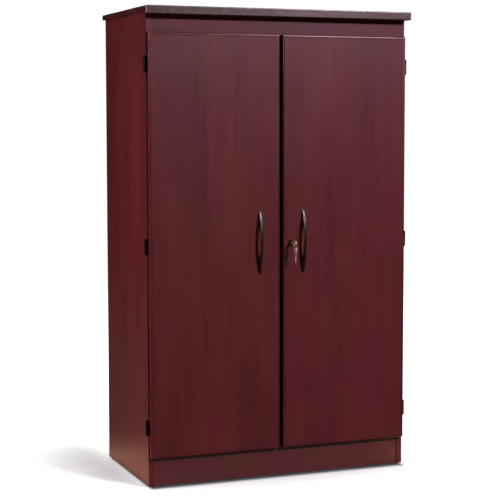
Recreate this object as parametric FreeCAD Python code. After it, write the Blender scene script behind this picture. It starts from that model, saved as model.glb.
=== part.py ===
import FreeCAD, Part
import math
import os

V = FreeCAD.Vector

# ---------------------------------------------------------------------------
# Two-door computer armoire, all sizes in millimetres.
# X runs to the right, Y to the back, Z up.  While the model is laid out, Y = 0
# is the front edge of the side panels; everything is moved at the end so that
# the origin is the bottom centre of the whole object.
# ---------------------------------------------------------------------------

# overall case
body_w = 800.0              # over the outer faces of the side panels
total_h = 1353.0            # floor to the top face
case_depth = 406.0          # side panel, front edge to rear edge
board_t = 16.0              # laminated particle board
back_t = 3.0                # hardboard back
glide_h = 3.0               # nail-on floor glides

# top
top_t = 15.0
nosing_t = 23.0             # built-up front edge of the top
top_side_over = 8.0         # beyond each side panel
top_front_over = 30.0       # beyond the side panels' front edges
top_rear_over = 4.0         # covers the hardboard and its nail heads
top_round = 2.0             # eased arrises of the front and end edges

# front
plinth_h = 77.0
plinth_set = 3.0            # plinth stands this far behind the side panels
frieze_h = 70.0
door_t = 15.0
door_gap = 1.8              # between the case front and the door's back face
door_side_inset = 3.0       # door edge inside the side panel's outer face
door_meet_gap = 10.5        # between the two doors
door_z0 = 85.0
door_z1 = 1281.0
bead_r = 4.0                # rounded bead at the door's edge
groove_in = 5.0             # start of the small groove, from the door's edge
groove_w = 4.0
groove_d = 1.2

# interior
bottom_z = 80.0             # underside of the bottom panel
desk_z = 730.0              # underside of the desk shelf
lower_z = 560.0             # underside of the lower fixed shelf
upper_shelf_z = 1042.0
printer_shelf_z = 326.0
shelf_set = 30.0            # fixed shelves stand behind the case front
adj_set = 45.0
divider_x = 130.0           # left face of the tower divider
tray_z = 652.0              # underside of the keyboard tray
tray_front = 36.0
tray_depth = 330.0
tray_w = 740.0
tray_travel = 300.0         # what the roller runners allow with the doors open

# shelf pin holes
pin_r = 2.5
pin_hole_depth = 9.0
pin_rows_y = (80.0, 340.0)
pin_pitch = 64.0

# hinges
hinge_r = 3.4               # knuckle
hinge_pin_r = 1.5
hinge_clear = 0.05          # radial, in the door knuckle
hinge_len = 42.0
hinge_tip = 2.0
hinge_out = 4.1             # axis outside the side panel's outer face
hinge_y = -0.9
leaf_t = 0.8
hinge_z = (172.0, 684.0, 1193.0)

# handles
handle_x = 67.5
handle_z = 689.0
handle_len = 185.0
handle_rise = 21.0          # crown of the bow above the door, at mid length
handle_tip = 4.2            # height of the blunt ends
handle_bar = 4.4            # thickness of the bow at mid length
handle_span = 116.0         # length of the finger arch at the door's face
handle_screw_c = 128.0

# lock and keys
lock_x = 31.0
lock_z = 684.0
lock_flange_r = 11.0
lock_body_r = 9.5
plug_r = 6.25
plug_clear = 0.05
cam_len = 44.0
key_t = 2.0
bow_len = 22.0
bow_h = 17.0
bow_out = 36.0              # front end of the bow, ahead of the door face
hole_out = 30.0             # the bow's hole, ahead of the door face
key_in = 10.0               # blade's tip, behind the door face
ring_r = 6.0                # mean radius of the key ring
wire_r = 0.6

# derived
hx = body_w / 2.0                       # 400
ix = hx - board_t                       # 384, inner face of a side panel
under_top = total_h - top_t             # 1338
door_back = -door_gap
door_front = -door_gap - door_t
side_z0 = glide_h
bot_top = bottom_z + board_t
desk_top = desk_z + board_t
lower_top = lower_z + board_t
hinge_x = hx + hinge_out

NODES = {}


# ---------------------------------------------------------------------------
# small helpers
# ---------------------------------------------------------------------------
def box(x0, x1, y0, y1, z0, z1):
    return Part.makeBox(x1 - x0, y1 - y0, z1 - z0, V(x0, y0, z0))


def cyl(r, h, x, y, z, axis):
    return Part.makeCylinder(r, h, V(x, y, z), V(*axis))


def cone(r1, r2, h, x, y, z, axis):
    return Part.makeCone(r1, r2, h, V(x, y, z), V(*axis))


def cut(shape, tools):
    tools = [t for t in tools if t is not None]
    if not tools:
        return shape
    out = shape.cut(tools)
    out = out.removeSplitter()
    return out.Solids[0] if len(out.Solids) == 1 else out


def fuse(first, others):
    out = first.fuse(others).removeSplitter()
    return out.Solids[0] if len(out.Solids) == 1 else out


def group(solids):
    flat = []
    for s in solids:
        flat.extend(s.Solids)
    return Part.makeCompound(flat)


def mirror_x(shape):
    return shape.mirror(V(0, 0, 0), V(1, 0, 0))


def polygon(points):
    pts = [V(*p) for p in points]
    return Part.makePolygon(pts + [pts[0]])


def plate(points, direction):
    return Part.Face(polygon(points)).extrude(V(*direction))


# ---------------------------------------------------------------------------
# fastener layout: cam fittings, dowels, nails and shelf pins are gathered
# here, and every panel is cut by the same solids that fill it
# ---------------------------------------------------------------------------
cam_discs, cam_bolts, dowels, nails, shelf_pins = [], [], [], [], []
holes = {}                              # node name -> list of cutting solids


def drill(name, tool):
    holes.setdefault(name, []).append(tool)


def cam_joint_x(panel, side, s, y, z_mid, down):
    """Cam fitting between the end of a horizontal panel and a side panel."""
    face = s * ix
    inward = -s
    disc_c = face + inward * 34.0
    z_disc = z_mid - board_t / 2.0 if down else z_mid + board_t / 2.0 - 12.5
    disc = cyl(7.5, 12.5, disc_c, y, z_disc, (0, 0, 1))
    slot = cyl(2.2, 2.0, disc_c, y, z_disc - 0.1, (0, 0, 1))
    cam_discs.append(disc.cut(slot))
    drill(panel, disc)
    thread = cyl(2.5, 11.0, face - inward * 11.0, y, z_mid, (inward, 0, 0))
    shaft = cyl(3.3, 26.0, face, y, z_mid, (inward, 0, 0))
    cam_bolts.append(fuse(thread, [shaft]))
    drill(side, cyl(2.5, 11.0, face - inward * 11.0, y, z_mid, (inward, 0, 0)))
    drill(panel, cyl(4.0, 34.0, face, y, z_mid, (inward, 0, 0)))


def dowel_x(a, b, s, y, z):
    """Wooden dowel across the joint between panel a's end and side panel b."""
    face = s * ix
    d = cyl(4.0, 30.0, face + s * 10.0, y, z, (-s, 0, 0))
    dowels.append(d)
    drill(a, d)
    drill(b, d)


def dowel_z(a, b, x, y, z):
    """Vertical dowel across the joint at height z, 10 mm into the panel above."""
    d = cyl(4.0, 26.0, x, y, z - 16.0, (0, 0, 1))
    dowels.append(d)
    drill(a, d)
    drill(b, d)


sides = (("left_side_panel", -1), ("right_side_panel", 1))

for side, s in sides:
    for panel, z0 in (("bottom_panel", bottom_z), ("desk_shelf", desk_z),
                      ("lower_shelf", lower_z)):
        for y in (75.0, 350.0):
            cam_joint_x(panel, side, s, y, z0 + board_t / 2.0, True)
        dowel_x(panel, side, s, 212.0, z0 + board_t / 2.0)
    for name, y in (("front_plinth", plinth_set + board_t / 2.0),
                    ("rear_plinth", 380.0)):
        for z in (24.0, 60.0):
            dowel_x(name, side, s, y, z)
    # frieze rail: one cam fitting let into its rear face and one dowel
    zc = under_top - 20.0
    disc = cyl(7.5, 12.5, s * (ix - 34.0), board_t - 12.5, zc, (0, 1, 0))
    cam_discs.append(disc.cut(cyl(2.2, 2.1, s * (ix - 34.0), board_t - 2.0, zc, (0, 1, 0))))
    drill("frieze_rail", disc)
    thread = cyl(2.5, 11.0, s * (ix + 11.0), board_t / 2.0, zc, (-s, 0, 0))
    cam_bolts.append(fuse(thread, [cyl(3.3, 26.0, s * ix, board_t / 2.0, zc, (-s, 0, 0))]))
    drill(side, thread)
    drill("frieze_rail", cyl(4.0, 34.0, s * ix, board_t / 2.0, zc, (-s, 0, 0)))
    dowel_x("frieze_rail", side, s, board_t / 2.0, under_top - 46.0)
    # top panel: cam fittings in the side panels' inner faces, bolts upwards
    for y in (75.0, 345.0):
        xm = s * (ix + board_t / 2.0)
        disc = cyl(7.5, 12.5, s * ix, y, under_top - 34.0, (s, 0, 0))
        cam_discs.append(disc.cut(cyl(2.2, 2.0, s * (ix - 0.1), y, under_top - 34.0, (s, 0, 0))))
        drill(side, disc)
        thread = cyl(2.5, 11.0, xm, y, under_top, (0, 0, 1))
        cam_bolts.append(fuse(thread, [cyl(3.3, 26.0, xm, y, under_top - 26.0, (0, 0, 1))]))
        drill("top_panel", thread)
        drill(side, cyl(4.0, 34.0, xm, y, under_top - 34.0, (0, 0, 1)))

for y in (90.0, 330.0):
    dowel_z("tower_divider", "bottom_panel", divider_x + board_t / 2.0, y, bot_top + 6.0)
    dowel_z("lower_shelf", "tower_divider", divider_x + board_t / 2.0, y, lower_z)


# shelf pins: a 5 mm spigot in the panel and a flat-topped spoon under the shelf
def shelf_pin(s, face, y, z_under):
    """Pin on a vertical face; s is the direction the spoon points in."""
    spigot = cyl(pin_r, pin_hole_depth - 0.5, face - s * (pin_hole_depth - 0.5), y, z_under - 3.5, (s, 0, 0))
    collar = cyl(3.5, 2.0, face, y, z_under - 3.5, (s, 0, 0))
    x0, x1 = sorted((face, face + s * 9.0))
    spoon = box(x0, x1, y - 3.5, y + 3.5, z_under - 3.5, z_under)
    shelf_pins.append(fuse(spigot, [collar, spoon]))


def pin_holes(name, face, s, zs):
    for y in pin_rows_y:
        for z in zs:
            drill(name, cyl(pin_r, pin_hole_depth, face - s * pin_hole_depth, y, z, (s, 0, 0)))


upper_pin_z = [upper_shelf_z - 3.5 + pin_pitch * k for k in (-2, -1, 0, 1, 2)]
lower_pin_z = [printer_shelf_z - 3.5 + pin_pitch * k for k in (-1, 0, 1)]
pin_holes("left_side_panel", -ix, 1, upper_pin_z)
pin_holes("right_side_panel", ix, -1, upper_pin_z)
pin_holes("left_side_panel", -ix, 1, lower_pin_z)
pin_holes("tower_divider", divider_x, -1, lower_pin_z)
for y in pin_rows_y:
    shelf_pin(1, -ix, y, upper_shelf_z)
    shelf_pin(-1, ix, y, upper_shelf_z)
    shelf_pin(1, -ix, y, printer_shelf_z)
    shelf_pin(-1, divider_x, y, printer_shelf_z)

# nails of the hardboard back
back_y0 = case_depth
back_y1 = case_depth + back_t


def nail(x, z, board, panel):
    head = cyl(2.6, 0.6, x, back_y1, z, (0, 1, 0))
    shank = cyl(0.8, 16.0 + 0.01, x, back_y1 - 16.0, z, (0, 1, 0))
    n = fuse(head, [shank])
    nails.append(n)
    drill(board, shank)
    drill(panel, shank)


split_z = desk_z + board_t / 2.0
for side, s in sides:
    x = s * (hx - board_t / 2.0)
    for z in (150.0, 270.0, 390.0, 510.0, 630.0):
        nail(x, z, "lower_back_panel", side)
    for z in (800.0, 920.0, 1040.0, 1160.0, 1260.0):
        nail(x, z, "upper_back_panel", side)
for x in (-300.0, -150.0, 0.0, 150.0, 300.0):
    nail(x, split_z - 4.0, "lower_back_panel", "desk_shelf")
    nail(x, split_z + 4.0, "upper_back_panel", "desk_shelf")
    nail(x + 20.0, bottom_z + board_t / 2.0, "lower_back_panel", "bottom_panel")

# ---------------------------------------------------------------------------
# hinge screws
# ---------------------------------------------------------------------------
hinge_case_screws = []
door_screws = {-1: [], 1: []}


def screw(r, head_r, length, head_h, x, y, z, axis):
    """Pan-head screw; the head's underside is at (x, y, z), axis into the wood."""
    a = V(*axis)
    head = Part.makeCylinder(head_r, head_h, V(x, y, z) - a * head_h, a)
    shank = Part.makeCylinder(r, length + 0.01, V(x, y, z) - a * 0.01, a)
    tip = Part.makeCone(r, 0.3, r * 1.4, V(x, y, z) + a * length, a)
    return fuse(head, [shank, tip])


def pilot(r, length, x, y, z, axis):
    a = V(*axis)
    body = Part.makeCylinder(r, length, V(x, y, z), a)
    tip = Part.makeCone(r, 0.3, r * 1.4, V(x, y, z) + a * length, a)
    return fuse(body, [tip])


# ---------------------------------------------------------------------------
# hinges: each has a case leaf wrapped round the side panel's front edge, a
# door leaf on the door's back, and a pin with button tips.  Built for the
# left side and mirrored for the right.
# ---------------------------------------------------------------------------
knuckle_case = ((-hinge_len / 2.0, -hinge_len / 6.0 - 0.2), (hinge_len / 6.0 + 0.2, hinge_len / 2.0))
knuckle_door = ((-hinge_len / 6.0 + 0.2, hinge_len / 6.0 - 0.2),)
leaf_holes_dz = 12.0


def hinge_left(zc):
    ax, ay = -hinge_x, hinge_y
    hl = hinge_len / 2.0
    # case leaf: plate on the inner face, strap over the edge, outer knuckles
    inner = box(-ix, -ix + leaf_t, -leaf_t, 24.0, zc - hl, zc + hl)
    strap = box(-hx + 1.0, -ix + leaf_t, -leaf_t, 0.0, zc - hl, zc + hl)
    parts = [strap]
    for a, b in knuckle_case:
        parts.append(box(ax, -hx + 1.0, -leaf_t, 0.0, zc + a, zc + b))
        parts.append(cyl(hinge_r, b - a, ax, ay, zc + a, (0, 0, 1)))
    case_leaf = fuse(inner, parts)
    cutters = [cyl(hinge_pin_r, hinge_len + 2, ax, ay, zc - hl - 1, (0, 0, 1))]
    for dz in (-leaf_holes_dz, leaf_holes_dz):
        cutters.append(cyl(1.9, 3.0, -ix - 1.0, 14.0, zc + dz, (1, 0, 0)))
    case_leaf = cut(case_leaf, cutters)
    # door leaf: plate on the door's back, middle knuckle
    leaf = box(-hx + 1.0, -hx + 36.0, door_back, door_back + leaf_t, zc - hl, zc + hl)
    parts = []
    for a, b in knuckle_door:
        parts.append(box(ax, -hx + 1.0, door_back, door_back + leaf_t, zc + a, zc + b))
        parts.append(cyl(hinge_r, b - a, ax, ay, zc + a, (0, 0, 1)))
    door_leaf = fuse(leaf, parts)
    cutters = [cyl(hinge_pin_r + hinge_clear, hinge_len + 2, ax, ay, zc - hl - 1, (0, 0, 1))]
    for dz in (-leaf_holes_dz, leaf_holes_dz):
        cutters.append(cyl(1.9, 3.0, -hx + 29.0, door_back - 1.0, zc + dz, (0, 1, 0)))
    door_leaf = cut(door_leaf, cutters)
    # pin with a domed button at each end
    pin = cyl(hinge_pin_r, hinge_len, ax, ay, zc - hl, (0, 0, 1))
    tips = []
    for s in (-1, 1):
        zb = zc + s * hl
        tips.append(cyl(2.6, hinge_tip * 0.4, ax, ay, zb, (0, 0, s)))
        tips.append(cone(2.6, 1.2, hinge_tip * 0.6, ax, ay, zb + s * hinge_tip * 0.4, (0, 0, s)))
    pin = fuse(pin, tips)
    return case_leaf, door_leaf, pin


case_leaves, door_leaves, pins = {-1: [], 1: []}, {-1: [], 1: []}, {-1: [], 1: []}
for zc in hinge_z:
    cl, dl, pn = hinge_left(zc)
    for s in (-1, 1):
        f = (lambda q: q) if s < 0 else mirror_x
        case_leaves[s].append(f(cl))
        door_leaves[s].append(f(dl))
        pins[s].append(f(pn))
    for side, s in sides:
        for dz in (-leaf_holes_dz, leaf_holes_dz):
            hinge_case_screws.append(
                screw(1.7, 3.2, 10.0, 1.5, s * (ix - leaf_t), 14.0, zc + dz, (s, 0, 0)))
            drill(side, pilot(1.7, 10.0, s * (ix - leaf_t), 14.0, zc + dz, (s, 0, 0)))
            door_screws[s].append(
                screw(1.7, 3.0, 9.0, 0.55, s * (hx - 29.0), door_back + leaf_t, zc + dz, (0, -1, 0)))
            drill("left_door" if s < 0 else "right_door",
                  pilot(1.7, 9.0, s * (hx - 29.0), door_back + leaf_t, zc + dz, (0, -1, 0)))

NODES["left_hinge_case_leaves"] = group(case_leaves[-1])
NODES["right_hinge_case_leaves"] = group(case_leaves[1])
NODES["left_hinge_door_leaves"] = group(door_leaves[-1])
NODES["right_hinge_door_leaves"] = group(door_leaves[1])
NODES["left_hinge_pins"] = group(pins[-1])
NODES["right_hinge_pins"] = group(pins[1])
NODES["hinge_case_screws"] = group(hinge_case_screws)
NODES["left_hinge_door_screws"] = group(door_screws[-1])
NODES["right_hinge_door_screws"] = group(door_screws[1])

# ---------------------------------------------------------------------------
# doors: flat slab, rounded bead at the edge and a small groove inside it
# ---------------------------------------------------------------------------
def door_slab(x0, x1):
    slab = box(x0, x1, door_front, door_back, door_z0, door_z1)
    front = [e for e in slab.Edges
             if all(abs(v.Point.y - door_front) < 1e-6 for v in e.Vertexes)]
    slab = slab.makeFillet(bead_r, front)
    # trapezoidal groove, mitred at the corners
    def ring(inset, y):
        return polygon([(x0 + inset, y, door_z0 + inset), (x1 - inset, y, door_z0 + inset),
                        (x1 - inset, y, door_z1 - inset), (x0 + inset, y, door_z1 - inset)])
    a = groove_in
    b = groove_in + groove_w
    top_y = door_front - 0.5
    low_y = door_front + groove_d
    slope = 0.9
    extra = slope * 0.5 / groove_d
    outer = Part.makeLoft([ring(a - extra, top_y), ring(a + slope, low_y)], True, True)
    inner = Part.makeLoft([ring(b + extra, top_y), ring(b - slope, low_y)], True, True)
    return cut(slab, [cut(outer, [inner])])


ld0, ld1 = -hx + door_side_inset, -door_meet_gap / 2.0
rd0, rd1 = door_meet_gap / 2.0, hx - door_side_inset
left_door = door_slab(ld0, ld1)
right_door = door_slab(rd0, rd1)


# ---------------------------------------------------------------------------
# bow handles: one casting, solid at both ends where the screws go in, with a
# finger arch under the middle
# ---------------------------------------------------------------------------
def bow_section(xc, z, w, top):
    """Section across the bow at one height: flat on the door, upright sides, rounded crown."""
    cap = min(w * 0.9, top * 0.9)
    y0, y1 = door_front, door_front - (top - cap)
    left, right = V(xc - w, y0, z), V(xc + w, y0, z)
    lift, rift = V(xc - w, y1, z), V(xc + w, y1, z)
    crown = []
    for j in range(9):
        b = math.pi * j / 8.0
        c, s_ = math.cos(b), math.sin(b)
        crown.append(V(xc + math.copysign(abs(c) ** 0.85, c) * w, y1 - abs(s_) ** 0.85 * cap, z))
    arc = Part.BSplineCurve()
    arc.interpolate(crown, InitialTangent=V(0, -1, 0), FinalTangent=V(0, 1, 0))
    return Part.Wire([Part.LineSegment(left, right).toShape(), Part.LineSegment(right, rift).toShape(),
                      arc.toShape(), Part.LineSegment(lift, left).toShape()])


def handle(xc):
    half = handle_len / 2.0
    rise = handle_rise - handle_tip
    radius = (half * half + rise * rise) / (2.0 * rise)
    sections = []
    n = 14
    for k in range(n + 1):
        u = -1.0 + 2.0 * k / n
        z = u * half
        top = handle_tip + math.sqrt(radius * radius - z * z) - (radius - rise)
        w = 2.7 + 0.9 * max(0.0, 1.0 - abs(u) ** 2.4)
        if k in (0, n):
            top, w = top - 0.9, w - 0.5
        sections.append(bow_section(xc, handle_z + z, w, top))
    body = Part.makeLoft(sections, True, False)
    # the finger arch: a segment of a larger circle, eased along both edges
    hs, hi = handle_span / 2.0, handle_rise - handle_bar
    r_in = (hs * hs + hi * hi) / (2.0 * hi)
    arch = cyl(r_in, 40.0, xc - 20.0, door_front + (r_in - hi), handle_z, (1, 0, 0))
    body = body.cut(arch)
    drills = [cyl(2.0, 8.0, xc, door_front + 1.0, handle_z + s * handle_screw_c / 2.0, (0, -1, 0)) for s in (-1, 1)]
    return cut(body, drills)


def handle_screws(xc):
    out = []
    for s in (-1, 1):
        z = handle_z + s * handle_screw_c / 2.0
        head = cyl(4.0, 2.4, xc, door_back, z, (0, 1, 0))
        slot = box(xc - 0.5, xc + 0.5, door_back + 1.4, door_back + 3.0, z - 3.0, z + 3.0)
        slot2 = box(xc - 3.0, xc + 3.0, door_back + 1.4, door_back + 3.0, z - 0.5, z + 0.5)
        shank = cyl(2.0, door_t + 6.5, xc, door_back + 0.01, z, (0, -1, 0))
        out.append(cut(fuse(head, [shank]), [slot, slot2]))
    return out


for name, s in (("left", -1), ("right", 1)):
    NODES[name + "_handle"] = handle(s * handle_x)
    NODES[name + "_handle_screws"] = group(handle_screws(s * handle_x))
    for k in (-1, 1):
        drill(name + "_door", cyl(2.25, door_t + 2, s * handle_x, door_back + 1,
                                  handle_z + k * handle_screw_c / 2.0, (0, -1, 0)))

# ---------------------------------------------------------------------------
# cam lock in the right door: flanged housing, hexagon nut, turning plug and a
# cranked cam that swings behind the left door
# ---------------------------------------------------------------------------
lock_rear = door_back + 5.4
housing = fuse(cyl(lock_body_r, lock_rear - door_front, lock_x, door_front, lock_z, (0, 1, 0)),
               [cyl(lock_flange_r, 1.2, lock_x, door_front - 1.2, lock_z, (0, 1, 0)),
                cone(lock_flange_r, lock_flange_r - 1.6, 0.8, lock_x, door_front - 1.2, lock_z, (0, -1, 0))])
housing = cut(housing, [cyl(plug_r + plug_clear, 60, lock_x, door_front - 20, lock_z, (0, 1, 0))])
NODES["lock_housing"] = housing
drill("right_door", cyl(lock_body_r, door_t + 2, lock_x, door_front - 1, lock_z, (0, 1, 0)))

hex_pts = [(lock_x + 13.0 * math.cos(math.radians(60 * k)), door_back,
            lock_z + 13.0 * math.sin(math.radians(60 * k))) for k in range(6)]
nut = plate(hex_pts, (0, 3.0, 0))
NODES["lock_nut"] = cut(nut, [cyl(lock_body_r, 6, lock_x, door_back - 1, lock_z, (0, 1, 0))])

# plug: keyway from the front, square stub for the cam at the back
plug_front = door_front - 2.0
plug = cyl(plug_r, lock_rear - 0.1 - plug_front, lock_x, plug_front, lock_z, (0, 1, 0))
stub = box(lock_x - 3.2, lock_x + 3.2, lock_rear - 0.2, lock_rear + 2.4, lock_z - 3.2, lock_z + 3.2)
plug = fuse(plug, [stub])
blade_h = 7.0
keyway = box(lock_x - key_t / 2 - 0.15, lock_x + key_t / 2 + 0.15, plug_front - 1,
             door_front + key_in + 0.8, lock_z - blade_h / 2 - 0.2, lock_z + blade_h / 2 + 0.2)
screw_bore = cyl(1.6, 8.0, lock_x, lock_rear + 3.0, lock_z, (0, -1, 0))
NODES["lock_plug"] = cut(plug, [keyway, screw_bore])

cam_y = lock_rear + 0.4
cam_t = 1.8
cam_w = 12.0
tip_y = door_back + 0.9                   # cranked tip, just clear of the doors' backs
arm = fuse(cyl(cam_w / 2 + 1.5, cam_t, lock_x, cam_y, lock_z, (0, 1, 0)),
           [box(lock_x - cam_w / 2, lock_x + cam_w / 2, cam_y, cam_y + cam_t, lock_z - 20.0, lock_z)])
crank = plate([(lock_x - cam_w / 2, cam_y, lock_z - 18.0), (lock_x - cam_w / 2, cam_y + cam_t, lock_z - 20.0),
               (lock_x - cam_w / 2, tip_y + cam_t, lock_z - 24.6), (lock_x - cam_w / 2, tip_y, lock_z - 22.6)],
              (cam_w, 0, 0))
tip = box(lock_x - cam_w / 2, lock_x + cam_w / 2, tip_y, tip_y + cam_t, lock_z - cam_len, lock_z - 22.6)
cam = fuse(arm, [crank, tip])
cam = cut(cam, [box(lock_x - 3.2, lock_x + 3.2, cam_y - 1, cam_y + 4, lock_z - 3.2, lock_z + 3.2)])
NODES["lock_cam"] = cam
washer_y = cam_y + cam_t
cam_screw = fuse(cyl(5.0, 2.2, lock_x, washer_y + 0.2, lock_z, (0, 1, 0)),
                 [cyl(1.6, 6.0, lock_x, washer_y + 0.3, lock_z, (0, -1, 0))])
cam_screw = cut(cam_screw, [box(lock_x - 4, lock_x + 4, washer_y + 1.4, washer_y + 4, lock_z - 0.5, lock_z + 0.5)])
NODES["lock_cam_screw"] = cam_screw


# ---------------------------------------------------------------------------
# keys: flat bow with a hole, and a blade with cuts.  The first is in the lock;
# the spare hangs from the ring through the first key's bow.
# ---------------------------------------------------------------------------
def key_blank():
    """Key in its own axes: along +L from the blade tip (0) to the bow's end."""
    total = bow_out + key_in
    bow0 = total - bow_len
    t = key_t / 2.0
    r = 7.0
    half = bow_h / 2.0
    bow = box(-t, t, bow0, total, -half, half)
    corner = [e for e in bow.Edges
              if abs(e.Vertexes[0].Point.x - e.Vertexes[-1].Point.x) > key_t * 0.9]
    bow = bow.makeFillet(r, corner)
    shoulder = box(-t, t, bow0 - 4.0, bow0 + 1.0, -4.8, 4.8)
    b = blade_h / 2.0
    pts = [(-t, 0.0, -b + 3.0), (-t, 0.0, b - 1.0), (-t, 1.0, b), (-t, bow0 - 3.0, b), (-t, bow0 - 3.0, -b),
           (-t, 15.0, -b), (-t, 14.0, -b + 1.6), (-t, 12.6, -b + 1.6), (-t, 11.4, -b + 0.6), (-t, 10.0, -b + 2.2),
           (-t, 8.6, -b + 2.2), (-t, 7.4, -b + 1.0), (-t, 6.0, -b + 1.8), (-t, 4.6, -b + 1.8), (-t, 3.4, -b + 0.8),
           (-t, 2.2, -b + 1.2)]
    blade = plate(pts, (key_t, 0, 0))
    body = fuse(bow, [shoulder, blade])
    hole = cyl(3.0, 6.0, -3.0, total - (bow_out - hole_out), 0.0, (1, 0, 0))
    return cut(body, [hole])


key = key_blank()
lock_key = key.copy()
lock_key.rotate(V(0, 0, 0), V(0, 0, 1), 180)
lock_key.translate(V(lock_x, door_front + key_in, lock_z))
NODES["lock_key"] = lock_key

ring_y = door_front - hole_out
ring_zc = lock_z - 2.7 - (ring_r - wire_r)
NODES["key_ring"] = Part.makeTorus(ring_r, wire_r, V(lock_x, ring_y, ring_zc), V(0, 1, 0))

spare = key.copy()
spare.rotate(V(0, 0, 0), V(1, 0, 0), 90)          # blade tip down, bow up
spare_hole_z = ring_zc - ring_r - (3.0 - wire_r) + 0.3
spare.translate(V(lock_x, ring_y, spare_hole_z - (key_in + hole_out)))
NODES["spare_key"] = spare

# ---------------------------------------------------------------------------
# surface bolt on the back of the left door: plate with two guides, sliding
# rod with a finger knob, and a bush in the frieze rail's lower edge
# ---------------------------------------------------------------------------
bolt_x = -34.0
bolt_r = 2.5
bolt_y = door_back + 8.0
frieze_z0 = under_top - frieze_h
bolt_z1 = frieze_z0 - 2.0                          # rod's end, drawn down
plate_z0, plate_z1 = bolt_z1 - 62.0, bolt_z1 - 6.0
bolt_travel = 12.0
bplate = box(bolt_x - 12, bolt_x + 12, door_back, door_back + 1.4, plate_z0, plate_z1)
guides = []
for z0 in (plate_z0 + 2.0, plate_z1 - 12.0):
    guides.append(box(bolt_x - 5.0, bolt_x + 5.0, door_back + 1.0, bolt_y + 4.2, z0, z0 + 10.0))
bolt_plate = fuse(bplate, guides)
bolt_holes = [(bolt_x + dx, z) for dx in (-8.5, 8.5) for z in (plate_z0 + 20.0, plate_z1 - 20.0)]
bolt_plate = cut(bolt_plate,
                 [cyl(bolt_r + 0.06, 90, bolt_x, bolt_y, plate_z0 - 10, (0, 0, 1))] +
                 [cyl(1.7, 4, x, door_back - 1, z, (0, 1, 0)) for x, z in bolt_holes])
NODES["bolt_plate"] = bolt_plate
rod_z0 = plate_z0 - 2.0
rod = cyl(bolt_r, bolt_z1 - rod_z0 - 1.0, bolt_x, bolt_y, rod_z0, (0, 0, 1))
nose = cone(bolt_r, 1.5, 1.0, bolt_x, bolt_y, bolt_z1 - 1.0, (0, 0, 1))
knob_z = (plate_z0 + plate_z1) / 2.0 - bolt_travel / 2.0
knob = fuse(cyl(2.0, 8.0, bolt_x, bolt_y, knob_z, (0, 1, 0)),
            [cyl(4.0, 3.0, bolt_x, bolt_y + 7.0, knob_z, (0, 1, 0))])
NODES["bolt_rod"] = fuse(rod, [nose, knob])
NODES["bolt_plate_screws"] = group([screw(1.5, 2.8, 8.0, 1.2, x, door_back + 1.4, z, (0, -1, 0))
                                    for x, z in bolt_holes])
for x, z in bolt_holes:
    drill("left_door", pilot(1.5, 8.0, x, door_back + 1.4, z, (0, -1, 0)))
bush = cut(fuse(cyl(4.2, 14.0, bolt_x, bolt_y, frieze_z0, (0, 0, 1)),
                [cyl(5.4, 1.0, bolt_x, bolt_y, frieze_z0 - 1.0, (0, 0, 1))]),
           [cyl(3.0, 20.0, bolt_x, bolt_y, frieze_z0 - 3.0, (0, 0, 1))])
NODES["bolt_bush"] = bush
drill("frieze_rail", cyl(4.2, 14.0, bolt_x, bolt_y, frieze_z0, (0, 0, 1)))

# ---------------------------------------------------------------------------
# magnetic catches on the bottom panel and their plates on the doors
# ---------------------------------------------------------------------------
catch_bodies, catch_screws = [], []
for name, s in (("left", -1), ("right", 1)):
    xc = s * 70.0
    shell = fuse(box(xc - 22, xc + 22, 0.6, 15.0, bot_top, bot_top + 13.0),
                 [box(xc - 16, xc + 16, -0.4, 0.7, bot_top + 2.0, bot_top + 5.0),
                  box(xc - 16, xc + 16, -0.4, 0.7, bot_top + 8.0, bot_top + 11.0)])
    hs = [(xc - 17.0, 9.0), (xc + 17.0, 9.0)]
    shell = cut(shell, [cyl(1.7, 20, x, y, bot_top - 1, (0, 0, 1)) for x, y in hs] +
                [cyl(3.2, 20, x, y, bot_top + 4.0, (0, 0, 1)) for x, y in hs])
    catch_bodies.append(shell)
    for x, y in hs:
        catch_screws.append(screw(1.5, 2.8, 12.0, 1.6, x, y, bot_top + 4.0, (0, 0, -1)))
        drill("bottom_panel", pilot(1.5, 12.0, x, y, bot_top + 4.0, (0, 0, -1)))
    plate_s = box(xc - 18, xc + 18, door_back, door_back + 1.0, bot_top + 0.5, bot_top + 12.5)
    NODES[name + "_catch_plate"] = plate_s
NODES["magnetic_catches"] = group(catch_bodies)
NODES["catch_screws"] = group(catch_screws)

# ---------------------------------------------------------------------------
# case panels
# ---------------------------------------------------------------------------
def side_panel(name, s):
    x0, x1 = sorted((s * ix, s * hx))
    return cut(box(x0, x1, 0, case_depth, side_z0, under_top), holes.get(name, []))


NODES["left_side_panel"] = side_panel("left_side_panel", -1)
NODES["right_side_panel"] = side_panel("right_side_panel", 1)

# top: one board with a built-up front edge that hangs in front of the frieze
# rail; its front and end arrises are eased
tx = hx + top_side_over
ty0, ty1 = -top_front_over, case_depth + top_rear_over
nosing_z0 = total_h - nosing_t
top = fuse(box(-tx, tx, ty0, ty1, under_top, total_h),
           [box(-tx, tx, ty0, 0.0, nosing_z0, under_top)])


def eased(e):
    """Outer arrises of the front edge and of both ends."""
    p = [v.Point for v in e.Vertexes]
    front = all(abs(q.y - ty0) < 1e-6 for q in p)
    end = all(abs(abs(q.x) - tx) < 1e-6 for q in p)
    inner = all(abs(q.y) < 1e-6 for q in p)
    rear = all(abs(q.y - ty1) < 1e-6 for q in p)
    return (front or end) and not inner and not rear


top = top.makeFillet(top_round, [e for e in top.Edges if eased(e)])
NODES["top_panel"] = cut(top, holes.get("top_panel", []))

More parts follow.
